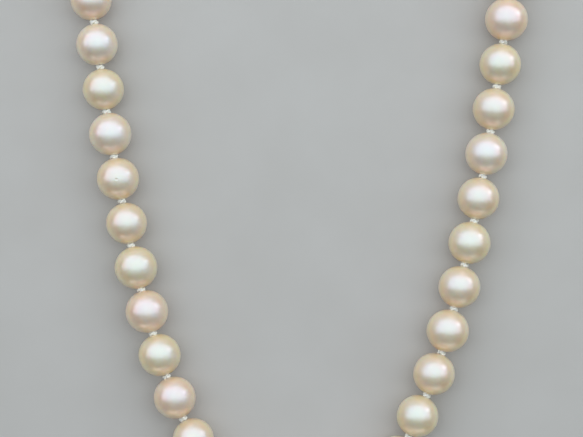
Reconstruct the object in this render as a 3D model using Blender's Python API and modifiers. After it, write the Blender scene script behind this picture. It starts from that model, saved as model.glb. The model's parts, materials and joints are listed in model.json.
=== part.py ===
"""A hand-knotted pearl necklace with a box clasp, laid undone on a flat surface.

Metres, +Z up. The surface is z = 0, the front of the loop points to -Y and the clasp lies at +Y.
One silk thread runs through every pearl and is knotted in each gap. At its two ends it is sheathed
in French wire and looped through the rings of the clasp's two halves.
"""
import math
import random

import bmesh
import bpy
from mathutils import Matrix, Vector

# Strand
PEARL_RADIUS = 0.00376
RADIUS_SPREAD = 0.00008
PITCH = 0.0081
LEFT_PEARLS = 23
RIGHT_PEARLS = 24
FRONT_OFFSET = -0.22 * PITCH
DRILL_RADIUS = 0.00045
SIZE_SEED = 11

# Curve of the laid strand
FRONT_SAG = 0.0135
CLASP_SHIFT = -0.002
CLASP_GAP = 0.0038

# Thread, knots and French wire
THREAD_RADIUS = 0.00021
KNOT_RADIUS = 0.00060
KNOT_SHOULDER = 0.00044
KNOT_HALF_LENGTH = 0.00020
DRILL_MOUTH = 0.00034
SHEATH_RADIUS = 0.00045
SHEATH_WALL = 0.00012
LOOP_TIP_RADIUS = 0.0010
LOOP_NECK = 0.0031
LOOP_NECK_HALF_WIDTH = 0.0005
KNOT_TO_NECK = 0.0007

# Clasp: lengths run from the pivot, where the French wire bears on the ring
PIVOT_HEIGHT = 0.00275
RING_RADIUS = 0.00125
RING_WIRE = 0.00032
RING_CENTRE = 0.00035
CLASP_START = 0.0020
CLASP_WIDTH = 0.0066
CLASP_HEIGHT = 0.0044
CORNER = 0.0012
BOX_LENGTH = 0.0110
WALL = 0.0005
LID = 0.00045
SEAM = 0.00005
SLOT_WIDTH = 0.0046
SLOT_BOTTOM = 0.0011
SLOT_TOP = 0.0027
NOTCH_WIDTH = 0.0022
NOTCH_LENGTH = 0.0012
END_PLATE = 0.0008
BLADE_LENGTH = 0.0085
BLADE_WIDTH = 0.0040
BLADE_BOTTOM = 0.0013
BLADE_THICKNESS = 0.0004
LEAF_GAP = 0.0001
LEAF_THICKNESS = 0.0003
LEAF_END = 0.0042
LEAF_RISE = 0.0013
TAB_END = 0.0036
TAB_WIDTH = 0.0016
TAB_TOP = 0.0053

# Facets
PEARL_STEPS = 16
PEARL_ARCS = 8
RING_STEPS = 16
LOOP_TIP_STEPS = 8
WIRE_STEPS = 8

LAST_PEARL_TO_PIVOT = PITCH / 2 + KNOT_TO_NECK + LOOP_NECK
TONGUE_REACH = CLASP_START + END_PLATE + BLADE_LENGTH
BOX_REACH = CLASP_START + BOX_LENGTH

MATERIALS = {
    "nacre": ((0.86, 0.80, 0.73), 0.22, 0.0),
    "silk": ((0.88, 0.85, 0.76), 0.75, 0.0),
    "french_wire": ((0.83, 0.69, 0.38), 0.30, 1.0),
    "gold": ((0.86, 0.66, 0.30), 0.20, 1.0),
    "spring_gold": ((0.80, 0.62, 0.32), 0.28, 1.0),
}


# Scene helpers

def clear_scene():
    for item in list(bpy.data.objects):
        bpy.data.objects.remove(item, do_unlink=True)


def new_collection(name):
    collection = bpy.data.collections.new(name)
    bpy.context.scene.collection.children.link(collection)
    return collection


def new_material(name):
    colour, roughness, metallic = MATERIALS[name]
    material = bpy.data.materials.new(name)
    material.use_nodes = True
    shader = material.node_tree.nodes["Principled BSDF"]
    shader.inputs["Base Color"].default_value = (*colour, 1.0)
    shader.inputs["Roughness"].default_value = roughness
    shader.inputs["Metallic"].default_value = metallic
    material.diffuse_color = (*colour, 1.0)
    return material


def add_object(name, data, material, place):
    item = bpy.data.objects.new(name, data)
    item.matrix_world = place
    item.data.materials.append(material)
    necklace.objects.link(item)
    return item


def mesh_from(shape):
    mesh = bpy.data.meshes.new("shape")
    shape.to_mesh(mesh)
    shape.free()
    return mesh


def slab(low, high, corner=0.0):
    """A mesh box between two corners, with its four upright edges rounded by corner."""
    shape = bmesh.new()
    bmesh.ops.create_cube(shape, size=1.0)
    low, high = Vector(low), Vector(high)
    for vertex in shape.verts:
        middle = (low + high) / 2
        vertex.co = middle + Vector(a * b for a, b in zip(vertex.co, high - low))
    if corner:
        upright = [e for e in shape.edges if abs((e.verts[0].co - e.verts[1].co).z) > 1e-5]
        bmesh.ops.bevel(
            shape, geom=upright, offset=corner, segments=4, profile=0.5, affect="EDGES")
    return mesh_from(shape)


def cut(item, mesh, operation="DIFFERENCE"):
    """Adds a Boolean of a mesh given in the item's own space."""
    tool = bpy.data.objects.new(item.name + "_tool", mesh)
    tool.matrix_world = item.matrix_world
    tool.hide_render = True
    tool.display_type = "WIRE"
    cutters.objects.link(tool)
    boolean = item.modifiers.new("boolean", "BOOLEAN")
    boolean.operation = operation
    boolean.solver = "EXACT"
    boolean.object = tool


# Curve of the strand. A side starts at the curve's lowest point and s is the length along it.
# It follows a catenary up to turn_start, and then one arc round the back to the clasp.

def turn_radius(length, turn_start):
    return (length - turn_start) / (math.pi - math.atan(turn_start / FRONT_SAG))


def end_x(length, turn_start):
    side = FRONT_SAG * math.asinh(turn_start / FRONT_SAG)
    return side - turn_radius(length, turn_start) * math.sin(math.atan(turn_start / FRONT_SAG))


def find_turn_start(length, target_x):
    """The start of the back arc that brings the side's end to target_x, by bisection."""
    low, high = length * 0.4, length * 0.99
    for _ in range(60):
        middle = (low + high) / 2
        if end_x(length, middle) < target_x:
            low = middle
        else:
            high = middle
    return low


def side_point(s, length, turn_start):
    """Position and heading on a side at length s, both for the right-hand side."""
    start = min(s, turn_start)
    x = FRONT_SAG * math.asinh(start / FRONT_SAG)
    y = math.hypot(FRONT_SAG, start) - FRONT_SAG
    angle = math.atan(start / FRONT_SAG)
    if s > turn_start:
        radius = turn_radius(length, turn_start)
        turned = angle + (s - turn_start) / radius
        x += radius * (math.sin(turned) - math.sin(angle))
        y -= radius * (math.cos(turned) - math.cos(angle))
        angle = turned
    return x, y, angle


def lay_side(count, sign):
    """Positions and directions of one side's pearls, going away from the front pearl."""
    length = count * PITCH + sign * FRONT_OFFSET
    reach = BOX_REACH if sign > 0 else TONGUE_REACH
    target = LAST_PEARL_TO_PIVOT + reach + CLASP_GAP / 2 + sign * CLASP_SHIFT
    turn_start = find_turn_start(length, target)
    places = []
    for number in range(1, count + 1):
        x, y, angle = side_point(number * PITCH + sign * FRONT_OFFSET, length, turn_start)
        along = Vector((sign * math.cos(angle), math.sin(angle), 0.0))
        places.append((Vector((sign * x, y, 0.0)), along))
    return places


def lay_strand():
    """(name, centre, direction, radius) of each pearl, from the left end to the right end."""
    sizes = random.Random(SIZE_SEED)
    x, y, angle = side_point(-FRONT_OFFSET, 1.0, 1.0)
    front = (Vector((-x, y, 0.0)), Vector((math.cos(angle), -math.sin(angle), 0.0)))
    left = lay_side(LEFT_PEARLS, -1)
    right = lay_side(RIGHT_PEARLS, 1)
    pearls = []
    for number in range(LEFT_PEARLS, 0, -1):
        centre, along = left[number - 1]
        pearls.append((f"pearl_left_{number:02d}", centre, -along))
    pearls.append(("pearl_front", *front))
    for number in range(1, RIGHT_PEARLS + 1):
        centre, along = right[number - 1]
        pearls.append((f"pearl_right_{number:02d}", centre, along))
    radii = [PEARL_RADIUS + RADIUS_SPREAD * sizes.uniform(-1.0, 1.0) for _ in pearls]
    xs = [p[1].x for p in pearls]
    ys = [p[1].y for p in pearls]
    middle = Vector(((min(xs) + max(xs)) / 2, (min(ys) + max(ys)) / 2, 0.0))
    return [
        (name, centre - middle + Vector((0.0, 0.0, radius)), along, radius)
        for (name, centre, along), radius in zip(pearls, radii)]


# Pearls

def pearl_profile(radius):
    """Half section of a drilled pearl: down the outside at +X, and back up the drill hole."""
    first = math.asin(DRILL_RADIUS / radius)
    mesh = bpy.data.meshes.new("pearl_profile")
    points = []
    for step in range(PEARL_ARCS + 1):
        angle = first + (math.pi - 2 * first) * step / PEARL_ARCS
        points.append((radius * math.sin(angle), 0.0, radius * math.cos(angle)))
    edges = [(i, (i + 1) % len(points)) for i in range(len(points))]
    mesh.from_pydata(points, edges, [])
    return mesh


def make_pearl(name, centre, along, radius, material):
    up = Vector((0.0, 0.0, 1.0))
    turn = Matrix((up, along.cross(up), along)).transposed().to_4x4()
    pearl = add_object(name, pearl_profile(radius), material, Matrix.Translation(centre) @ turn)
    screw = pearl.modifiers.new("turned", "SCREW")
    screw.steps = PEARL_STEPS
    screw.render_steps = PEARL_STEPS
    screw.use_merge_vertices = True
    screw.merge_threshold = 0.00001
    screw.use_smooth_shade = True


# Thread and French wire

def end_loop(knot, pivot, outward):
    """Centre line of the sheathed loop: out along one leg, round its tip at the pivot, and back.

    The loop falls evenly from the end knot's height to the pivot's."""
    across = Vector((-outward.y, outward.x, 0.0))
    fall = (knot.z - pivot.z) / (LOOP_NECK + KNOT_TO_NECK)
    leg = [
        (LOOP_NECK, LOOP_NECK_HALF_WIDTH),
        (LOOP_NECK * 0.78, LOOP_NECK_HALF_WIDTH * 1.45),
        (LOOP_NECK * 0.55, LOOP_TIP_RADIUS * 0.93)]
    tip = []
    for step in range(LOOP_TIP_STEPS + 1):
        angle = math.pi * step / LOOP_TIP_STEPS
        back = LOOP_TIP_RADIUS * (1 - math.sin(angle))
        tip.append((back, LOOP_TIP_RADIUS * math.cos(angle)))
    flat = leg + tip + [(back, -side) for back, side in reversed(leg)]
    return [
        pivot - outward * back + across * side + Vector((0.0, 0.0, fall * back))
        for back, side in flat]


def wire(name, points, radii, material, resolution=1):
    """A round wire through the points, as a poly curve with its own radius at each point."""
    curve = bpy.data.curves.new(name, "CURVE")
    curve.dimensions = "3D"
    curve.bevel_depth = 1.0
    curve.bevel_resolution = resolution
    curve.use_fill_caps = True
    spline = curve.splines.new("POLY")
    spline.points.add(len(points) - 1)
    for target, point, radius in zip(spline.points, points, radii):
        target.co = (*point, 1.0)
        target.radius = radius
    return add_object(name, curve, material, Matrix.Identity(4))


def knot_points(before, after):
    """Thread points and radii through one knot, between the drill mouths of two pearls.

    before and after are the knot's place and direction as each neighbour's axis gives them."""
    (start, start_along), (end, end_along) = before, after
    middle = (start + end) / 2
    points = [
        middle - start_along * DRILL_MOUTH,
        middle - start_along * KNOT_HALF_LENGTH,
        middle,
        middle + end_along * KNOT_HALF_LENGTH,
        middle + end_along * DRILL_MOUTH]
    return points, [THREAD_RADIUS, KNOT_SHOULDER, KNOT_RADIUS, KNOT_SHOULDER, THREAD_RADIUS]


def make_thread(pearls, left_loop, right_loop, material):
    """The one silk thread: loop, end knot, pearls with a knot in each gap, end knot, loop."""
    _, first, first_along, _ = pearls[0]
    _, last, last_along, _ = pearls[-1]
    half = PITCH / 2
    points = list(reversed(left_loop))
    radii = [THREAD_RADIUS] * len(left_loop)
    start = first - first_along * half
    stops = [((start, first_along), (start, first_along))]
    for (_, a, a_along, _), (_, b, b_along, _) in zip(pearls, pearls[1:]):
        stops.append(((a + a_along * half, a_along), (b - b_along * half, b_along)))
    end = last + last_along * half
    stops.append(((end, last_along), (end, last_along)))
    for before, after in stops:
        knot, widths = knot_points(before, after)
        points += knot
        radii += widths
    points += right_loop
    radii += [THREAD_RADIUS] * len(right_loop)
    return wire("silk_thread", points, radii, material)


def make_french_wire(name, loop, material):
    """The metal sheath on an end loop: a thin tube, open at both ends for the thread."""
    tube = wire(name, loop, [SHEATH_RADIUS] * len(loop), material, 2)
    tube.data.use_fill_caps = False
    wall = tube.modifiers.new("wall", "SOLIDIFY")
    wall.thickness = SHEATH_WALL
    wall.offset = -1.0
    return tube


# Clasp. Each half is built with its pivot at the origin and its mating end towards +X.

def half_frame(pivot, outward):
    across = Vector((-outward.y, outward.x, 0.0))
    turn = Matrix((outward, across, Vector((0.0, 0.0, 1.0)))).transposed().to_4x4()
    return Matrix.Translation(pivot) @ turn


def up(height):
    """Height above the surface, in a half's own space."""
    return height - PIVOT_HEIGHT


def make_ring(name, place, material):
    """A closed wire ring standing on edge, with its hole along the clasp's width."""
    profile = bpy.data.meshes.new("ring_profile")
    points = []
    for step in range(WIRE_STEPS):
        angle = -2 * math.pi * step / WIRE_STEPS
        points.append((RING_RADIUS + RING_WIRE * math.cos(angle), 0.0, RING_WIRE * math.sin(angle)))
    edges = [(i, (i + 1) % WIRE_STEPS) for i in range(WIRE_STEPS)]
    profile.from_pydata(points, edges, [])
    stand = Matrix.Translation((RING_CENTRE, 0.0, 0.0)) @ Matrix.Rotation(math.pi / 2, 4, "X")
    ring = add_object(name, profile, material, place @ stand)
    screw = ring.modifiers.new("turned", "SCREW")
    screw.steps = RING_STEPS
    screw.render_steps = RING_STEPS
    screw.use_merge_vertices = True
    screw.merge_threshold = 0.00001
    screw.use_smooth_shade = True


def make_box_shell(place, material):
    """The box: a tray with a slot for the tongue in its mouth and a notch above for the tab."""
    start, end = CLASP_START, CLASP_START + BOX_LENGTH
    half = CLASP_WIDTH / 2
    rim = up(CLASP_HEIGHT - LID - SEAM)
    mesh = slab((start, -half, up(0.0)), (end, half, rim), CORNER)
    shell = add_object("clasp_box_shell", mesh, material, place)
    inner = half - WALL
    cut(shell, slab(
        (start + WALL, -inner, up(WALL)), (end - WALL, inner, rim + WALL), CORNER - WALL))
    cut(shell, slab(
        (end - 2 * WALL, -SLOT_WIDTH / 2, up(SLOT_BOTTOM)),
        (end + WALL, SLOT_WIDTH / 2, up(SLOT_TOP))))
    cut(shell, slab(
        (end - 2 * WALL, -NOTCH_WIDTH / 2, up(SLOT_TOP - WALL)),
        (end + WALL, NOTCH_WIDTH / 2, rim + WALL)))


def make_box_lid(place, material):
    """The box's top plate, notched at the mouth where the thumb tab stands."""
    start, end = CLASP_START, CLASP_START + BOX_LENGTH
    half = CLASP_WIDTH / 2
    bottom, top = up(CLASP_HEIGHT - LID), up(CLASP_HEIGHT)
    plate = slab((start, -half, bottom), (end, half, top), CORNER)
    lid = add_object("clasp_box_lid", plate, material, place)
    cut(lid, slab(
        (end - NOTCH_LENGTH, -NOTCH_WIDTH / 2, bottom - WALL),
        (end + WALL, NOTCH_WIDTH / 2, top + WALL)))


def make_end_plate(place, material):
    """The tongue half's plate, which closes the box's mouth when the clasp is shut."""
    half = CLASP_WIDTH / 2
    mesh = slab((CLASP_START, -half, up(0.0)), (CLASP_START + END_PLATE, half, up(CLASP_HEIGHT)))
    plate = add_object("tongue_end_plate", mesh, material, place)
    bevel = plate.modifiers.new("edges", "BEVEL")
    bevel.width = END_PLATE / 5
    bevel.segments = 2


def make_blade(place, material):
    """The tongue's stiff lower leaf, with a rounded tip."""
    start = CLASP_START + END_PLATE + SEAM
    end = CLASP_START + END_PLATE + BLADE_LENGTH
    low = (start, -BLADE_WIDTH / 2, up(BLADE_BOTTOM))
    high = (end, BLADE_WIDTH / 2, up(BLADE_BOTTOM + BLADE_THICKNESS))
    add_object("tongue_blade", slab(low, high, BLADE_THICKNESS), material, place)


def extruded(outline, width):
    """A mesh of a closed outline in the XZ plane, centred on y = 0."""
    shape = bmesh.new()
    ring = [shape.verts.new((x, -width / 2, z)) for x, z in outline]
    face = shape.faces.new(ring)
    moved = bmesh.ops.extrude_face_region(shape, geom=[face])["geom"]
    for vertex in (v for v in moved if isinstance(v, bmesh.types.BMVert)):
        vertex.co.y += width
    bmesh.ops.recalc_face_normals(shape, faces=shape.faces)
    return mesh_from(shape)


def make_spring_leaf(place, material):
    """The tongue's springy upper leaf, folded back from the tip, with the thumb tab on its end.

    Its origin is on the fold, the line it flexes about."""
    fold_x = CLASP_START + END_PLATE + BLADE_LENGTH
    fold_z = up(BLADE_BOTTOM + BLADE_THICKNESS + LEAF_GAP)
    slope = LEAF_RISE / (fold_x - LEAF_END)

    def rise(x):
        return -(x - fold_x) * slope

    def point(x, lift):
        return x - fold_x, rise(x) + lift

    leaf = [point(fold_x, 0.0), point(fold_x, LEAF_THICKNESS),
            point(LEAF_END, LEAF_THICKNESS), point(LEAF_END, 0.0)]
    tab_front = TAB_END + LEAF_THICKNESS
    top = TAB_TOP - PIVOT_HEIGHT - fold_z
    overlap = LEAF_END + 2 * LEAF_THICKNESS
    tab = [point(overlap, 0.0), point(overlap, LEAF_THICKNESS), point(tab_front, LEAF_THICKNESS),
           (tab_front - fold_x, top), (TAB_END - fold_x, top), point(TAB_END, 0.0)]
    origin = place @ Matrix.Translation((fold_x, 0.0, fold_z))
    item = add_object("tongue_spring_leaf", extruded(leaf, BLADE_WIDTH), material, origin)
    cut(item, extruded(tab, TAB_WIDTH), "UNION")


def make_necklace():
    material = {name: new_material(name) for name in MATERIALS}
    pearls = lay_strand()
    for name, centre, along, radius in pearls:
        make_pearl(name, centre, along, radius, material["nacre"])
    _, first, first_along, _ = pearls[0]
    _, last, last_along, _ = pearls[-1]
    loops = {}
    frames = {}
    for side, centre, outward in (("tongue", first, -first_along), ("box", last, last_along)):
        pivot = centre + outward * LAST_PEARL_TO_PIVOT
        pivot.z = PIVOT_HEIGHT
        knot = centre + outward * PITCH / 2
        loops[side] = end_loop(knot, pivot, outward)
        frames[side] = half_frame(pivot, outward)
        make_french_wire(f"french_wire_{side}_end", loops[side], material["french_wire"])
        make_ring(f"{side}_ring", frames[side], material["gold"])
    make_thread(pearls, loops["tongue"], loops["box"], material["silk"])
    make_box_shell(frames["box"], material["gold"])
    make_box_lid(frames["box"], material["gold"])
    make_end_plate(frames["tongue"], material["gold"])
    make_blade(frames["tongue"], material["spring_gold"])
    make_spring_leaf(frames["tongue"], material["spring_gold"])


clear_scene()
necklace = new_collection("pearl_necklace")
cutters = new_collection("cutters")
make_necklace()
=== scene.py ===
"""Looks of the knotted pearl necklace: nacre, silk knots, French wire and the gold box clasp.

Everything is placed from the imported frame: a pearl from its node's box, a knot from the hinge it sits on.
"""
import json
import math
import random

import bmesh
import bpy
import numpy as np
from mathutils import Matrix, Vector, noise

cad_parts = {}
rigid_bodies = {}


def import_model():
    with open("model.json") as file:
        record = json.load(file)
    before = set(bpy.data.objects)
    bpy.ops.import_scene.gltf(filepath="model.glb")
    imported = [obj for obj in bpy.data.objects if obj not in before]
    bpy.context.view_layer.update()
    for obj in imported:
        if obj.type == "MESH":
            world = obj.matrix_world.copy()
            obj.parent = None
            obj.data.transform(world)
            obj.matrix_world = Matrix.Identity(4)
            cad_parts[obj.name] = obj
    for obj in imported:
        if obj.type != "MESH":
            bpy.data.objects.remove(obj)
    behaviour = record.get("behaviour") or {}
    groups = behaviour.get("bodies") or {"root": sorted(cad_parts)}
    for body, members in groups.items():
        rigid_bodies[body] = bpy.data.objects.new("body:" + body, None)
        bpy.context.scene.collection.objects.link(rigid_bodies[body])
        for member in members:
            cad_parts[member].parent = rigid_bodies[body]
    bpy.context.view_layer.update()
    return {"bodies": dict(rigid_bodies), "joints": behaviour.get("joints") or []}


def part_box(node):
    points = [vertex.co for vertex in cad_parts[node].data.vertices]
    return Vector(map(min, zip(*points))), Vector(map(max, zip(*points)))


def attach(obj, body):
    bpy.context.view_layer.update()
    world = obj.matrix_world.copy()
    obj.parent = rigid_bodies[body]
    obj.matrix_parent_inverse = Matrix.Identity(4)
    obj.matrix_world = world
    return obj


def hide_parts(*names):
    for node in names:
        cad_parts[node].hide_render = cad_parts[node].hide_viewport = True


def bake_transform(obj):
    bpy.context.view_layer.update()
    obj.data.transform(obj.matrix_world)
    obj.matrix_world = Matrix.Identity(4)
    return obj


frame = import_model()

MM = 0.001
UP = Vector((0.0, 0.0, 1.0))

# Pearls. Swellings and depths are shares of the radius.
SKIN_GAP = 0.003
DRILL_RADIUS = 0.40 * MM
DRILL_EDGE = 0.07 * MM
PEARL_SIDES = 72
PEARL_RINGS = 48
EDGE_STEPS = 3
OFF_ROUND = 0.006
OFF_ROUND_LUMPS = 0.9
RIPPLE = 0.0007
RIPPLE_LUMPS = 7.0
MARK_COUNTS = (0, 0, 1, 2)
MARK_SIZES = (0.35 * MM, 0.60 * MM)
MARK_DEPTHS = (0.001, 0.003)
PIT_PEARL = "left_09"
PIT_FACING = Vector((0.03, -0.05, 1.0))
PIT_SIZE = 0.30 * MM
PIT_DEPTH = 0.018
PIT_FINENESS = 3
TONE_ORDER = ("rose", "cream", "green", "silver")
PEARL_SEED = 23

# Silk.
CORD_RADIUS = 0.245 * MM
THREAD_RADIUS = 0.20 * MM
SILK_SIDES = 14
THREAD_LAY = 1.1 * MM
THREAD_POINTS = 40
PLY_GROOVE = 0.16
KNOT_RING = 0.41 * MM
KNOT_SWELL = 0.17 * MM
KNOT_FLATTEN = 1.15
KNOT_LAY = 0.7 * MM
KNOT_POINTS = 84
KNOT_SIZES = (0.95, 1.05)
KNOT_LEAN = 9
SILK_SEED = 5

# End loops
LOOP_NECK = 3.1 * MM
LOOP_NECK_HALF_WIDTH = 0.5 * MM
LOOP_TIP_RADIUS = 1.0 * MM
GIMP_RADIUS = 0.37 * MM
GIMP_WIRE = 0.08 * MM
GIMP_PITCH = 0.175 * MM
GIMP_TURN_POINTS = 14
LOOP_MEASURE_POINTS = 400
LOOP_THREAD_POINTS = 160

# Clasp
CORNER = 1.2 * MM
WALL = 0.5 * MM
SLOT_WIDTH = 4.6 * MM
SLOT_BOTTOM = 1.1 * MM
SLOT_TOP = 2.7 * MM
NOTCH_WIDTH = 2.2 * MM
NOTCH_LENGTH = 1.2 * MM
TAB_WIDTH = 1.6 * MM
STRIP = 0.3 * MM
LEAF_END = 4.2 * MM
LEAF_RISE = 1.3 * MM
TAB_BEND = 0.4 * MM
GROOVE_SPACING = 0.44 * MM
GROOVE_WIDTH = 0.28 * MM
GROOVE_DEPTH = 0.05 * MM
BEAD_RADIUS = 0.15 * MM
BEAD_SPACING = 0.31 * MM
BEAD_INSET = 0.36 * MM
BEAD_SINK = 0.04 * MM
GROOVE_MARGIN = 2.6 * BEAD_INSET
COVER_BEVEL = 0.07 * MM
TRAY_BEVEL = 0.06 * MM
PLATE_BEVEL = 0.16 * MM
BLADE_BEVEL = 0.05 * MM
LEAF_BEVEL = 0.04 * MM
BLADE_ROOT = 0.05 * MM
WELD_GAP = 0.003 * MM

# Noise scales: lumps for each metre, so 230 makes clouds about 4 mm across
CLOUDS = 230.0
POLISH = 420.0
GRAIN = 3200.0
FIBRES = 6000.0
GOLD_TONE = 260.0
HAIRLINES = 900.0
PAPER = 60.0

# Camera. It looks straight down at 104.3 mm of the strand's plane.
VIEW_CENTRE = Vector((-1.56 * MM, -28.4 * MM, 3.7 * MM))
VIEW_WIDTH = 104.3 * MM
LENS = 100.0
SENSOR = 36.0

# Studio. Each light: place, target, width, depth, watts and colour.
FLOOR_HALF = 3.0
SKY_COLOUR = (0.70, 0.78, 1.0, 1.0)
SKY_STRENGTH = 0.08
LIGHTS = {
    "softbox": ((-0.08, 0.85, 0.65), (-0.08, 0.85, 0.0), 3.8, 2.1, 41.0, (0.80, 0.90, 1.0)),
    "side_lamp": ((0.52, 0.27, 0.20), (0.0, 0.0, 0.0), 0.15, 0.15, 0.26, (0.64, 0.92, 1.0)),
    "front_fill": ((0.0, -0.90, 0.10), (0.0, 0.0, 0.0), 0.9, 0.20, 1.0, (0.86, 1.0, 0.86)),
}


# Mesh helpers

def mesh_from(verts, faces, name="shape"):
    mesh = bpy.data.meshes.new(name)
    mesh.from_pydata([tuple(v) for v in verts], [], [tuple(int(i) for i in f) for f in faces])
    mesh.update()
    return mesh


def mesh_object(name, verts, faces, material, smooth=True):
    mesh = mesh_from(verts, faces, name)
    if smooth:
        mesh.shade_smooth()
    item = bpy.data.objects.new(name, mesh)
    bpy.context.scene.collection.objects.link(item)
    mesh.materials.append(material)
    return item


def grid_faces(rows, columns, close_rows):
    """Quads of a grid whose columns wrap round, and whose rows do too if close_rows."""
    faces = []
    for row in range(rows if close_rows else rows - 1):
        following = (row + 1) % rows
        for column in range(columns):
            beside = (column + 1) % columns
            faces.append((
                row * columns + column, row * columns + beside,
                following * columns + beside, following * columns + column))
    return faces


def frames_along(points, closed):
    """Unit tangents and a twist-free pair of normals at each point of a path."""
    ahead = np.roll(points, -1, axis=0)
    behind = np.roll(points, 1, axis=0)
    if not closed:
        ahead[-1] = points[-1]
        behind[0] = points[0]
    tangents = ahead - behind
    tangents /= np.linalg.norm(tangents, axis=1)[:, None]
    guide = np.array((0.0, 0.0, 1.0))
    if abs(tangents[0] @ guide) > 0.9:
        guide = np.array((1.0, 0.0, 0.0))
    normal = np.cross(tangents[0], guide)
    normals = []
    for tangent in tangents:
        normal = normal - tangent * (normal @ tangent)
        normal /= np.linalg.norm(normal)
        normals.append(normal)
    normals = np.array(normals)
    return tangents, normals, np.cross(tangents, normals)


def sweep(points, radius, sides, closed=False, plies=0, lay=THREAD_LAY):
    """Verts and faces of a tube along points, with twisted plies if any. radius may vary."""
    points = np.array(points, float)
    count = len(points)
    _, normals, sides_way = frames_along(points, closed)
    steps = np.linalg.norm(np.diff(points, axis=0), axis=1)
    run = np.concatenate([[0.0], np.cumsum(steps)])
    radii = np.broadcast_to(radius, (count,))
    angles = np.arange(sides) * 2 * math.pi / sides
    rings = []
    for index in range(count):
        scale = np.full(sides, radii[index])
        if plies:
            phase = plies / 2 * (angles + 2 * math.pi * run[index] / lay)
            scale = scale * (1.0 - PLY_GROOVE + PLY_GROOVE * np.abs(np.cos(phase)))
        ring = (
            points[index] + np.outer(np.cos(angles) * scale, normals[index])
            + np.outer(np.sin(angles) * scale, sides_way[index]))
        rings.append(ring)
    verts = np.concatenate(rings)
    faces = grid_faces(count, sides, closed)
    if not closed:
        faces.append(tuple(reversed(range(sides))))
        faces.append(tuple(range((count - 1) * sides, count * sides)))
    return verts, faces


def joined(parts):
    """One vertex and face list from several."""
    verts, faces, offset = [], [], 0
    for part_verts, part_faces in parts:
        verts.append(np.array(part_verts))
        faces += [tuple(i + offset for i in face) for face in part_faces]
        offset += len(part_verts)
    return np.concatenate(verts), faces


# Materials

def principled(name, **values):
    material = bpy.data.materials.new(name)
    material.use_nodes = True
    shader = material.node_tree.nodes["Principled BSDF"]
    for key, value in values.items():
        socket = shader.inputs[key.replace("_", " ")]
        if isinstance(value, tuple) and len(value) == 3 and socket.type == "RGBA":
            value = (*value, 1.0)
        socket.default_value = value
    return material, material.node_tree.nodes, material.node_tree.links, shader


def add_noise(nodes, links, scale, detail, source):
    texture = nodes.new("ShaderNodeTexNoise")
    texture.inputs["Scale"].default_value = scale
    texture.inputs["Detail"].default_value = detail
    links.new(source, texture.inputs["Vector"])
    return texture


def add_ramp(nodes, links, source, stops):
    ramp = nodes.new("ShaderNodeValToRGB")
    elements = ramp.color_ramp.elements
    while len(elements) < len(stops):
        elements.new(0.5)
    for element, (place, colour) in zip(elements, stops):
        element.position = place
        element.color = (*colour, 1.0)
    links.new(source, ramp.inputs["Fac"])
    return ramp


def add_bump(nodes, links, shader, height, strength, distance):
    bump = nodes.new("ShaderNodeBump")
    bump.inputs["Strength"].default_value = strength
    bump.inputs["Distance"].default_value = distance
    links.new(height, bump.inputs["Height"])
    links.new(bump.outputs["Normal"], shader.inputs["Normal"])
    return bump


def add_range(nodes, links, source, target, low, high):
    """Drives a socket from the middle of a noise's values, between low and high."""
    spread = nodes.new("ShaderNodeMapRange")
    spread.inputs["From Min"].default_value = 0.3
    spread.inputs["From Max"].default_value = 0.7
    spread.inputs["To Min"].default_value = low
    spread.inputs["To Max"].default_value = high
    links.new(source, spread.inputs["Value"])
    links.new(spread.outputs["Result"], target)


def place_of(nodes):
    """The output that gives a point's place on its own object."""
    return nodes.new("ShaderNodeTexCoord").outputs["Object"]


# Body colour, its warmer and cooler clouds, and the film thickness in nanometres of each overtone
NACRES = {
    "cream": ((0.93, 0.73, 0.46), (0.93, 0.67, 0.39), (0.92, 0.76, 0.53), 396.0),
    "rose": ((0.95, 0.71, 0.49), (0.95, 0.65, 0.41), (0.93, 0.74, 0.54), 392.0),
    "green": ((0.91, 0.75, 0.46), (0.92, 0.70, 0.39), (0.89, 0.76, 0.52), 399.0),
    "silver": ((0.93, 0.75, 0.53), (0.93, 0.70, 0.46), (0.91, 0.78, 0.60), 397.0),
}


def nacre(tone):
    """Layered pearl: a cream body that light enters, under a film whose colour turns at its sides."""
    body, warm, cool, film = NACRES[tone]
    material, nodes, links, shader = principled(
        f"nacre_{tone}", Metallic=0.12, IOR=3.8, Subsurface_Weight=0.4,
        Subsurface_Radius=(1.0, 0.65, 0.30), Subsurface_Scale=1.2 * MM, Coat_Weight=0.3,
        Coat_Roughness=0.33, Coat_IOR=1.6, Thin_Film_Thickness=film, Thin_Film_IOR=1.18)
    place = place_of(nodes)
    clouds = add_noise(nodes, links, CLOUDS, 2.0, place)
    ramp = add_ramp(nodes, links, clouds.outputs["Fac"], [(0.32, warm), (0.50, body), (0.68, cool)])
    links.new(ramp.outputs["Color"], shader.inputs["Base Color"])
    polish = add_noise(nodes, links, POLISH, 3.0, place)
    add_range(nodes, links, polish.outputs["Fac"], shader.inputs["Roughness"], 0.33, 0.41)
    grain = add_noise(nodes, links, GRAIN, 4.0, place)
    add_bump(nodes, links, shader, grain.outputs["Fac"], 0.05, 0.02 * MM)
    return material


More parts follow.
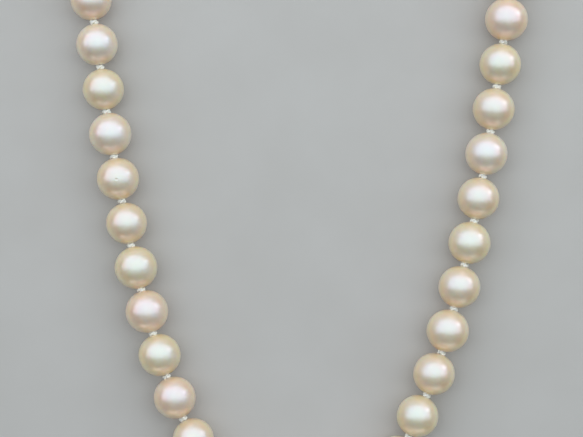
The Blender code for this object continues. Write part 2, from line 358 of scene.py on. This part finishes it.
def silk():
    """Ivory silk: soft sheen, and a fine mottle of fibres in its colour and relief."""
    material, nodes, links, shader = principled(
        "silk_cord", Roughness=0.62, Sheen_Weight=0.5, Sheen_Roughness=0.4,
        Sheen_Tint=(1.0, 0.97, 0.9), Subsurface_Weight=0.15, Subsurface_Radius=(1.0, 0.9, 0.7),
        Subsurface_Scale=0.3 * MM)
    place = place_of(nodes)
    fibres = add_noise(nodes, links, FIBRES, 3.0, place)
    shades = [(0.25, (0.88, 0.85, 0.73)), (0.7, (0.98, 0.97, 0.88))]
    ramp = add_ramp(nodes, links, fibres.outputs["Fac"], shades)
    links.new(ramp.outputs["Color"], shader.inputs["Base Color"])
    add_bump(nodes, links, shader, fibres.outputs["Fac"], 0.4, 0.03 * MM)
    return material


def polished_gold(name, bright, deep, low, high, stretch):
    """Gold with a soft variation of tone, fine wear in its polish and hairline scratches."""
    material, nodes, links, shader = principled(name, Metallic=1.0, Specular_Tint=(1.0, 0.92, 0.75))
    place = place_of(nodes)
    tone = add_noise(nodes, links, GOLD_TONE, 3.0, place)
    ramp = add_ramp(nodes, links, tone.outputs["Fac"], [(0.35, deep), (0.65, bright)])
    links.new(ramp.outputs["Color"], shader.inputs["Base Color"])
    along = nodes.new("ShaderNodeMapping")
    along.inputs["Scale"].default_value = stretch
    links.new(place, along.inputs["Vector"])
    hairlines = add_noise(nodes, links, HAIRLINES, 6.0, along.outputs["Vector"])
    add_range(nodes, links, hairlines.outputs["Fac"], shader.inputs["Roughness"], low, high)
    add_bump(nodes, links, shader, hairlines.outputs["Fac"], 0.12, 0.01 * MM)
    return material


def floor_material():
    material, nodes, links, shader = principled("studio_floor", Roughness=0.75)
    place = place_of(nodes)
    paper = add_noise(nodes, links, PAPER, 3.0, place)
    shades = [(0.3, (0.505, 0.462, 0.410)), (0.7, (0.530, 0.487, 0.435))]
    ramp = add_ramp(nodes, links, paper.outputs["Fac"], shades)
    links.new(ramp.outputs["Color"], shader.inputs["Base Color"])
    return material


# The strand, read from the frame

def hinge_place(child):
    """The place of the hinge that carries a body: for a pearl or an end loop, its knot's middle."""
    for joint in frame["joints"]:
        if joint["child"] == child:
            return Vector(joint["pos_m"])
    raise ValueError(child)


def strand():
    """Pearl bodies from the left end to the right, and the knots before, between and after them."""
    left = sorted(b for b in frame["bodies"] if b.startswith("left_") and b[5:].isdigit())
    right = sorted(b for b in frame["bodies"] if b.startswith("right_") and b[6:].isdigit())
    bodies = list(reversed(left)) + ["front"] + right
    knots = [hinge_place("left_end_loop")]
    knots += [hinge_place(b) for b in reversed(left)]
    knots += [hinge_place(b) for b in right]
    knots.append(hinge_place("right_end_loop"))
    return bodies, knots


def frame_at(centre, along):
    """A placing whose Z is along, with X as near upright as it can be."""
    along = along.normalized()
    side = UP - along * UP.dot(along)
    side.normalize()
    turn = Matrix((side, along.cross(side), along)).transposed().to_4x4()
    return Matrix.Translation(centre) @ turn


def pearl_mesh(radius, seed, pits, fineness=1):
    """A drilled pearl on the Z axis: very slightly off round, with rolled drill edges."""
    sides, arcs = PEARL_SIDES * fineness, PEARL_RINGS * fineness
    first = math.asin((DRILL_RADIUS + DRILL_EDGE) / radius)
    profile = []
    for step in range(arcs + 1):
        angle = first + (math.pi - 2 * first) * step / arcs
        profile.append((radius * math.sin(angle), radius * math.cos(angle)))
    top = radius * math.cos(first)
    edge = []
    for step in range(1, EDGE_STEPS + 1):
        angle = math.pi / 2 * step / EDGE_STEPS
        edge.append((
            DRILL_RADIUS + DRILL_EDGE * (1 - math.sin(angle)),
            -top + DRILL_EDGE * (1 - math.cos(angle)) * 0.8))
    profile += edge + [(r, -z) for r, z in reversed(edge)]
    rows = len(profile)
    angles = np.arange(sides) * 2 * math.pi / sides
    verts = []
    shift = Vector((seed * 3.7, seed * 1.3, seed * 2.1))
    for row, (r, z) in enumerate(profile):
        for angle in angles:
            point = Vector((r * math.cos(angle), r * math.sin(angle), z))
            if row <= arcs:
                way = point.normalized()
                swell = OFF_ROUND * noise.noise(way * OFF_ROUND_LUMPS + shift)
                swell += RIPPLE * noise.noise(way * RIPPLE_LUMPS + shift)
                for pit_way, size, depth in pits:
                    off = (way - pit_way).length * radius / size
                    if off < 3.0:
                        rim = 0.45 * math.exp(-9.0 * (off - 1.0) ** 2)
                        swell += depth * (rim - math.exp(-2.2 * off ** 2))
                point = point * (1.0 + swell)
            verts.append(point)
    return verts, [face[::-1] for face in grid_faces(rows, sides, True)]


def make_pearls(bodies, knots, materials):
    """One pearl on each body, drilled along the thread, with its own tone and growth marks."""
    rng = random.Random(PEARL_SEED)
    for index, body in enumerate(bodies):
        node = "pearl_" + body
        low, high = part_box(node)
        centre = (low + high) / 2
        radius = (high.z - low.z) / 2
        place = frame_at(centre, knots[index + 1] - knots[index])
        pits = []
        for _ in range(rng.choice(MARK_COUNTS)):
            way = Vector((rng.gauss(0, 1), rng.gauss(0, 1), rng.gauss(0, 0.6))).normalized()
            pits.append((way, rng.uniform(*MARK_SIZES), rng.uniform(*MARK_DEPTHS)))
        fineness = 1
        if body == PIT_PEARL:
            way = place.to_3x3().inverted() @ PIT_FACING.normalized()
            pits.append((way, PIT_SIZE, PIT_DEPTH))
            fineness = PIT_FINENESS
        verts, faces = pearl_mesh(radius * (1.0 - SKIN_GAP), index + 1, pits, fineness)
        tone = rng.choice(TONE_ORDER)
        pearl = mesh_object("nacre_" + body, verts, faces, materials[tone])
        pearl.matrix_world = place
        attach(pearl, body)
        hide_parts(node)


def knot_mesh(rng):
    """A tight overhand knot round the thread: a cord that winds three times through itself."""
    size = rng.uniform(*KNOT_SIZES)
    points = []
    for step in range(KNOT_POINTS):
        t = 2 * math.pi * step / KNOT_POINTS
        ring = KNOT_RING + KNOT_SWELL * math.cos(3 * t)
        points.append((
            ring * math.cos(2 * t) * size, ring * math.sin(2 * t) * size,
            KNOT_SWELL * KNOT_FLATTEN * math.sin(3 * t)))
    return sweep(points, CORD_RADIUS, SILK_SIDES, closed=True, plies=2, lay=KNOT_LAY)


def make_silk(bodies, knots, material):
    """The thread through each pearl, on that pearl's body, and the knots, set at the hinges on no body."""
    rng = random.Random(SILK_SEED)
    for index, body in enumerate(bodies):
        start, end = knots[index], knots[index + 1]
        points = [start.lerp(end, i / (THREAD_POINTS - 1)) for i in range(THREAD_POINTS)]
        verts, faces = sweep(points, THREAD_RADIUS, SILK_SIDES, plies=3)
        thread = mesh_object("thread_" + body, verts, faces, material)
        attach(thread, body)
        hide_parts("silk_thread")
    for index, knot in enumerate(knots):
        before = knots[max(index - 1, 0)]
        after = knots[min(index + 1, len(knots) - 1)]
        verts, faces = knot_mesh(rng)
        piece = mesh_object(f"silk_knot_{index + 1:02d}", verts, faces, material)
        lean = Matrix.Rotation(math.radians(rng.uniform(-KNOT_LEAN, KNOT_LEAN)), 4, "X")
        turn = Matrix.Rotation(rng.uniform(0, 2 * math.pi), 4, "Z")
        piece.matrix_world = frame_at(knot, after - before) @ turn @ lean
        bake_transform(piece)


# End loops

def half_frame(pivot_body, loop_body):
    """A clasp half's own space: its pivot at the origin, +X away from the strand, +Z up."""
    pivot = hinge_place(pivot_body)
    outward = pivot - hinge_place(loop_body)
    outward.z = 0.0
    outward.normalize()
    across = UP.cross(outward)
    turn = Matrix((outward, across, UP)).transposed().to_4x4()
    return Matrix.Translation(pivot) @ turn


def smooth_path(points, count):
    """Points evenly spaced on a Catmull-Rom curve through the given ones, and its length."""
    points = np.array([tuple(p) for p in points])
    padded = np.concatenate([[2 * points[0] - points[1]], points, [2 * points[-1] - points[-2]]])
    fine = []
    for i in range(len(points) - 1):
        a, b, c, d = padded[i:i + 4]
        for t in np.arange(16) / 16:
            fine.append(0.5 * (
                2 * b + (c - a) * t + (2 * a - 5 * b + 4 * c - d) * t ** 2
                + (3 * b - a - 3 * c + d) * t ** 3))
    fine.append(points[-1])
    fine = np.array(fine)
    run = np.concatenate([[0.0], np.cumsum(np.linalg.norm(np.diff(fine, axis=0), axis=1))])
    marks = np.linspace(0.0, run[-1], count)
    return np.stack([np.interp(marks, run, fine[:, i]) for i in range(3)], axis=1), run[-1]


def loop_route(place, loop_body):
    """The loop's centre line, out along one leg, round the tip at the pivot and back, and its knot."""
    knot = place.inverted() @ hinge_place(loop_body)
    fall = knot.z / -knot.x
    leg = [
        (LOOP_NECK, LOOP_NECK_HALF_WIDTH),
        (LOOP_NECK * 0.78, LOOP_NECK_HALF_WIDTH * 1.45),
        (LOOP_NECK * 0.55, LOOP_TIP_RADIUS * 0.93)]
    tip = []
    for step in range(9):
        angle = math.pi * step / 8
        tip.append((LOOP_TIP_RADIUS * (1 - math.sin(angle)), LOOP_TIP_RADIUS * math.cos(angle)))
    flat = leg + tip + [(back, -side) for back, side in reversed(leg)]
    route = [place @ Vector((-back, side, fall * back)) for back, side in flat]
    return route, place @ knot


def make_end_loop(place, loop_body, node, wire_material, silk_material):
    """The thread's end loop, and the French wire on it: one fine wire wound along the loop."""
    route, knot = loop_route(place, loop_body)
    _, length = smooth_path(route, LOOP_MEASURE_POINTS)
    turns = length / GIMP_PITCH
    count = int(turns * GIMP_TURN_POINTS)
    line, _ = smooth_path(route, count)
    _, normals, sides_way = frames_along(line, False)
    angles = np.linspace(0.0, 2 * math.pi * turns, count)
    coil = line + GIMP_RADIUS * (
        np.cos(angles)[:, None] * normals + np.sin(angles)[:, None] * sides_way)
    verts, faces = sweep(coil, GIMP_WIRE, 8)
    gimp = mesh_object("coiled_" + node, verts, faces, wire_material)
    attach(gimp, loop_body)
    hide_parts(node)
    line, _ = smooth_path([knot] + route + [knot], LOOP_THREAD_POINTS)
    verts, faces = sweep(line, THREAD_RADIUS, SILK_SIDES, plies=3)
    thread = mesh_object("thread_" + loop_body, verts, faces, silk_material)
    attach(thread, loop_body)
    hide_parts("silk_thread")


# Clasp, each half in its own space

def local_box(node, place):
    """A CAD node's lowest and highest corners in a clasp half's own space."""
    first, second = (place.inverted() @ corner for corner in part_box(node))
    low = Vector(min(a, b) for a, b in zip(first, second))
    return low, Vector(max(a, b) for a, b in zip(first, second))


def slab(low, high, corner=0.0):
    """A mesh box between two corners, with its four upright edges rounded by corner."""
    shape = bmesh.new()
    bmesh.ops.create_cube(shape, size=1.0)
    low, high = Vector(low), Vector(high)
    middle = (low + high) / 2
    for vertex in shape.verts:
        vertex.co = middle + Vector(a * b for a, b in zip(vertex.co, high - low))
    if corner:
        upright = [e for e in shape.edges if abs((e.verts[0].co - e.verts[1].co).z) > 0.01 * MM]
        bmesh.ops.bevel(
            shape, geom=upright, offset=corner, segments=10, profile=0.5, affect="EDGES")
    return mesh_of(shape)


def mesh_of(shape):
    mesh = bpy.data.meshes.new("shape")
    shape.to_mesh(mesh)
    shape.free()
    return mesh


def extruded(outline, width):
    """A mesh of a closed outline in the XZ plane, centred on y = 0."""
    shape = bmesh.new()
    ring = [shape.verts.new((x, -width / 2, z)) for x, z in outline]
    face = shape.faces.new(ring)
    moved = bmesh.ops.extrude_face_region(shape, geom=[face])["geom"]
    for vertex in (v for v in moved if isinstance(v, bmesh.types.BMVert)):
        vertex.co.y += width
    bmesh.ops.recalc_face_normals(shape, faces=shape.faces)
    return mesh_of(shape)


def strip_outline(line, thickness):
    """The outline of a bent strip whose middle follows the line in the XZ plane."""
    line = np.array(line)
    ahead = np.gradient(line, axis=0)
    ahead /= np.linalg.norm(ahead, axis=1)[:, None]
    offset = np.stack([-ahead[:, 1], ahead[:, 0]], axis=1) * thickness / 2
    return [tuple(p) for p in np.concatenate([line + offset, (line - offset)[::-1]])]


def carved(mesh, cuts=(), unions=(), bevel=0.0):
    """A mesh with others joined to it and cut from it, and its edges rounded."""
    objects = bpy.context.scene.collection.objects
    item = bpy.data.objects.new("blank", mesh)
    objects.link(item)
    used = [item]
    for operation, others in (("UNION", unions), ("DIFFERENCE", cuts)):
        for other in others:
            tool = bpy.data.objects.new("tool", other)
            objects.link(tool)
            used.append(tool)
            boolean = item.modifiers.new("boolean", "BOOLEAN")
            boolean.operation = operation
            boolean.solver = "EXACT"
            boolean.object = tool
    item.modifiers.new("weld", "WELD").merge_threshold = WELD_GAP
    if bevel:
        rounding = item.modifiers.new("edges", "BEVEL")
        rounding.width = bevel
        rounding.segments = 3
        rounding.limit_method = "ANGLE"
        rounding.angle_limit = math.radians(40)
        item.modifiers.new("weld_edges", "WELD").merge_threshold = WELD_GAP
    bpy.context.view_layer.update()
    seen = item.evaluated_get(bpy.context.evaluated_depsgraph_get())
    result = bpy.data.meshes.new_from_object(seen)
    for thing in used:
        bpy.data.objects.remove(thing, do_unlink=True)
    return result


def clasp_piece(name, mesh, material, place, body, node):
    """Puts a mesh of a clasp half's own space in the scene, on its body, in place of a node if any."""
    mesh.materials.clear()
    mesh.materials.append(material)
    mesh.shade_smooth()
    mesh.set_sharp_from_angle(angle=math.radians(38))
    piece = bpy.data.objects.new(name, mesh)
    piece.matrix_world = place
    bpy.context.scene.collection.objects.link(piece)
    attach(piece, body)
    if node:
        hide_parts(node)


def make_ring(place, node, body, plate_x, material):
    """A soldered wire ring, and the collar of solder that holds it to its half."""
    low, high = local_box(node, place)
    wire = (high.y - low.y) / 2
    radius = (high.z - low.z) / 2 - wire
    centre = (low + high) / 2
    angles = np.arange(56) * 2 * math.pi / 56
    line = [centre + Vector((math.cos(a), 0.0, math.sin(a))) * radius for a in angles]
    verts, faces = sweep([tuple(p) for p in line], wire, 20, closed=True)
    clasp_piece("wire_" + node, mesh_from(verts, faces), material, place, body, node)
    start = high.x - wire
    steps = [i / 6 for i in range(7)]
    collar = [(start + (plate_x - start) * t, 0.0, centre.z) for t in steps]
    flare = [wire * (0.9 + 1.3 * t ** 3) for t in steps]
    verts, faces = sweep(collar, flare, 28)
    clasp_piece("solder_" + node, mesh_from(verts, faces), material, place, body, None)


def make_box_shell(place, material):
    """The box: a tray with a slot for the tongue in its mouth and a notch above for the tab."""
    low, high = local_box("clasp_box_shell", place)
    base = low.z
    inner_low = low + Vector((WALL, WALL, WALL))
    inner_high = Vector((high.x - WALL, high.y - WALL, high.z + WALL))
    mouth = high.x - 2 * WALL, high.x + WALL
    hollow = slab(inner_low, inner_high, CORNER - WALL)
    slot = slab(
        (mouth[0], -SLOT_WIDTH / 2, base + SLOT_BOTTOM), (mouth[1], SLOT_WIDTH / 2, base + SLOT_TOP))
    notch = slab(
        (mouth[0], -NOTCH_WIDTH / 2, base + SLOT_TOP - WALL),
        (mouth[1], NOTCH_WIDTH / 2, high.z + WALL))
    mesh = carved(slab(low, high, CORNER), cuts=[hollow, slot, notch], bevel=TRAY_BEVEL)
    clasp_piece("box_tray", mesh, material, place, "clasp_box", "clasp_box_shell")


def groove(start, end, y, top):
    """A cutter for one V groove along X."""
    half = GROOVE_WIDTH / 2
    section = [(-half, GROOVE_DEPTH), (half, GROOVE_DEPTH), (half, 0.0), (0.0, -GROOVE_DEPTH),
               (-half, 0.0)]
    verts = [(x, y + a, top + b) for x in (start, end) for a, b in section]
    count = len(section)
    faces = [tuple(range(count)), tuple(reversed(range(count, 2 * count)))]
    for i in range(count):
        j = (i + 1) % count
        faces.append((i, i + count, j + count, j))
    return verts, faces


def bead(centre, radius):
    """One ball of the beaded border."""
    shape = bmesh.new()
    bmesh.ops.create_uvsphere(shape, u_segments=12, v_segments=8, radius=radius)
    verts = [centre + v.co for v in shape.verts]
    faces = [tuple(v.index for v in f.verts) for f in shape.faces]
    shape.free()
    return verts, faces


def border_points(low, high, inset, corner):
    """Evenly spaced points round a rectangle with rounded corners, broken at the notch."""
    x0, x1, y0, y1 = low.x + inset, high.x - inset, low.y + inset, high.y - inset
    turn = corner - inset
    outline = []
    for cx, cy, start in (
            (x1 - turn, y1 - turn, 0), (x0 + turn, y1 - turn, 90),
            (x0 + turn, y0 + turn, 180), (x1 - turn, y0 + turn, 270)):
        for step in range(7):
            angle = math.radians(start + 15 * step)
            outline.append((cx + turn * math.cos(angle), cy + turn * math.sin(angle)))
    outline.append(outline[0])
    outline = np.array(outline)
    run = np.concatenate([[0.0], np.cumsum(np.linalg.norm(np.diff(outline, axis=0), axis=1))])
    count = round(run[-1] / BEAD_SPACING)
    marks = np.arange(count) * run[-1] / count
    points = [(np.interp(m, run, outline[:, 0]), np.interp(m, run, outline[:, 1])) for m in marks]
    clear = NOTCH_WIDTH / 2 + BEAD_RADIUS
    return [(x, y) for x, y in points if abs(y) > clear or x < high.x - 2 * inset]


def make_box_lid(place, material):
    """The lid: a plate with engraved grooves and a beaded border, notched for the thumb tab."""
    low, high = local_box("clasp_box_lid", place)
    notch = slab(
        (high.x - NOTCH_LENGTH, -NOTCH_WIDTH / 2, low.z - WALL),
        (high.x + WALL, NOTCH_WIDTH / 2, high.z + WALL))
    rows = int((high.y - GROOVE_MARGIN) / GROOVE_SPACING)
    start, end = low.x + GROOVE_MARGIN, high.x - NOTCH_LENGTH - BEAD_INSET
    lines = [row * GROOVE_SPACING for row in range(-rows, rows + 1)]
    cuts = joined([groove(start, end, line, high.z) for line in lines])
    plate = carved(slab(low, high, CORNER), cuts=[notch], bevel=COVER_BEVEL)
    mesh = carved(plate, cuts=[mesh_from(*cuts)])
    clasp_piece("box_cover", mesh, material, place, "clasp_box", "clasp_box_lid")
    beads = [
        bead(Vector((x, y, high.z - BEAD_SINK)), BEAD_RADIUS)
        for x, y in border_points(low, high, BEAD_INSET, CORNER)]
    mesh = mesh_from(*joined(beads))
    clasp_piece("beaded_border", mesh, material, place, "clasp_box", None)


def make_tongue(place, gold_material, spring_material):
    """The plate that closes the box, the stiff blade, and the springy leaf with its thumb tab."""
    low, high = local_box("tongue_end_plate", place)
    mesh = carved(slab(low, high), bevel=PLATE_BEVEL)
    clasp_piece("tongue_plate", mesh, gold_material, place, "tongue", "tongue_end_plate")
    low, high = local_box("tongue_blade", place)
    blade = slab((low.x - BLADE_ROOT, low.y, low.z), high, STRIP)
    mesh = carved(blade, bevel=BLADE_BEVEL)
    clasp_piece("tongue_strip", mesh, spring_material, place, "tongue", "tongue_blade")
    blade_middle = (low.z + high.z) / 2
    width = high.y - low.y
    low, high = local_box("tongue_spring_leaf", place)
    mesh = spring_leaf(low, high, blade_middle, width)
    clasp_piece(
        "folded_leaf", mesh, spring_material, place, "spring_leaf", "tongue_spring_leaf")


def spring_leaf(low, high, blade_middle, width):
    """A strip folded over at the blade's tip, rising back to the thumb tab that stands on it."""
    slope = LEAF_RISE / (high.x - LEAF_END)
    leaf_middle = low.z + STRIP / 2

    def on_leaf(x):
        return x, leaf_middle + (high.x - x) * slope

    turn = (leaf_middle - blade_middle) / 2
    line = []
    for step in range(11):
        angle = math.radians(-84 + 17 * step)
        line.append((high.x + turn * math.cos(angle), blade_middle + turn + turn * math.sin(angle)))
    line += [on_leaf(high.x - (high.x - LEAF_END) * part) for part in (0.25, 0.5, 0.75, 1.0)]
    leaf = extruded(strip_outline(line, STRIP), width)
    upright = low.x + STRIP / 2
    start_x, start_z = on_leaf(upright + TAB_BEND)
    tab_line = [on_leaf(LEAF_END + 2 * STRIP), on_leaf(LEAF_END + STRIP)]
    for step in range(7):
        angle = math.radians(-90 - 15 * step)
        tab_line.append((
            start_x + TAB_BEND * math.cos(angle), start_z + TAB_BEND + TAB_BEND * math.sin(angle)))
    tab_line.append((upright, high.z))
    tab = extruded(strip_outline(tab_line, STRIP), TAB_WIDTH)
    return carved(leaf, unions=[tab], bevel=LEAF_BEVEL)


def make_clasp(gold, spring_gold, french_gold, silk_cord):
    """Both halves of the clasp, with the end loops that they swing on."""
    tongue = half_frame("tongue", "left_end_loop")
    box = half_frame("clasp_box", "right_end_loop")
    make_end_loop(tongue, "left_end_loop", "french_wire_tongue_end", french_gold, silk_cord)
    make_end_loop(box, "right_end_loop", "french_wire_box_end", french_gold, silk_cord)
    tongue_face = local_box("tongue_end_plate", tongue)[0].x
    box_face = local_box("clasp_box_shell", box)[0].x
    make_ring(tongue, "tongue_ring", "tongue", tongue_face, gold)
    make_ring(box, "box_ring", "clasp_box", box_face, gold)
    make_box_shell(box, gold)
    make_box_lid(box, gold)
    make_tongue(tongue, gold, spring_gold)


# Studio

def area_light(name, place, target, size, size_y, power, colour):
    light = bpy.data.lights.new(name, "AREA")
    light.shape = "RECTANGLE"
    light.size = size
    light.size_y = size_y
    light.energy = power
    light.color = colour
    item = bpy.data.objects.new(name, light)
    item.location = place
    item.rotation_euler = (Vector(target) - Vector(place)).to_track_quat("-Z", "Y").to_euler()
    item.visible_camera = False
    bpy.context.scene.collection.objects.link(item)


def make_studio():
    """A pale sheet of paper under a large softbox, with a small side lamp and a weak fill in front."""
    size = FLOOR_HALF
    verts = [(-size, -size, 0), (size, -size, 0), (size, size, 0), (-size, size, 0)]
    floor = mesh_object("studio_floor", verts, [(0, 1, 2, 3)], floor_material(), smooth=False)
    world = bpy.data.worlds.new("studio")
    world.use_nodes = True
    background = world.node_tree.nodes["Background"]
    background.inputs["Color"].default_value = SKY_COLOUR
    background.inputs["Strength"].default_value = SKY_STRENGTH
    bpy.context.scene.world = world
    bpy.context.scene.view_settings.view_transform = "Standard"
    for name, values in LIGHTS.items():
        area_light(name, *values)


def make_camera():
    camera = bpy.data.cameras.new("camera")
    camera.lens = LENS
    camera.sensor_width = SENSOR
    camera.clip_start = 0.01
    item = bpy.data.objects.new("camera", camera)
    item.location = VIEW_CENTRE + UP * (VIEW_WIDTH * LENS / SENSOR)
    bpy.context.scene.collection.objects.link(item)
    bpy.context.scene.camera = item


make_camera()
make_studio()
nacres = {tone: nacre(tone) for tone in NACRES}
silk_cord = silk()
gold = polished_gold("gold_plate", (0.90, 0.68, 0.32), (0.82, 0.58, 0.24), 0.14, 0.30, (1, 1, 1))
spring_gold = polished_gold(
    "brushed_spring", (0.86, 0.66, 0.34), (0.76, 0.55, 0.25), 0.22, 0.40, (0.06, 1, 1))
french_gold = polished_gold(
    "gilt_wire", (0.90, 0.72, 0.38), (0.78, 0.58, 0.28), 0.20, 0.36, (1, 1, 1))
bodies, knots = strand()
make_pearls(bodies, knots, nacres)
make_silk(bodies, knots, silk_cord)
make_clasp(gold, spring_gold, french_gold, silk_cord)
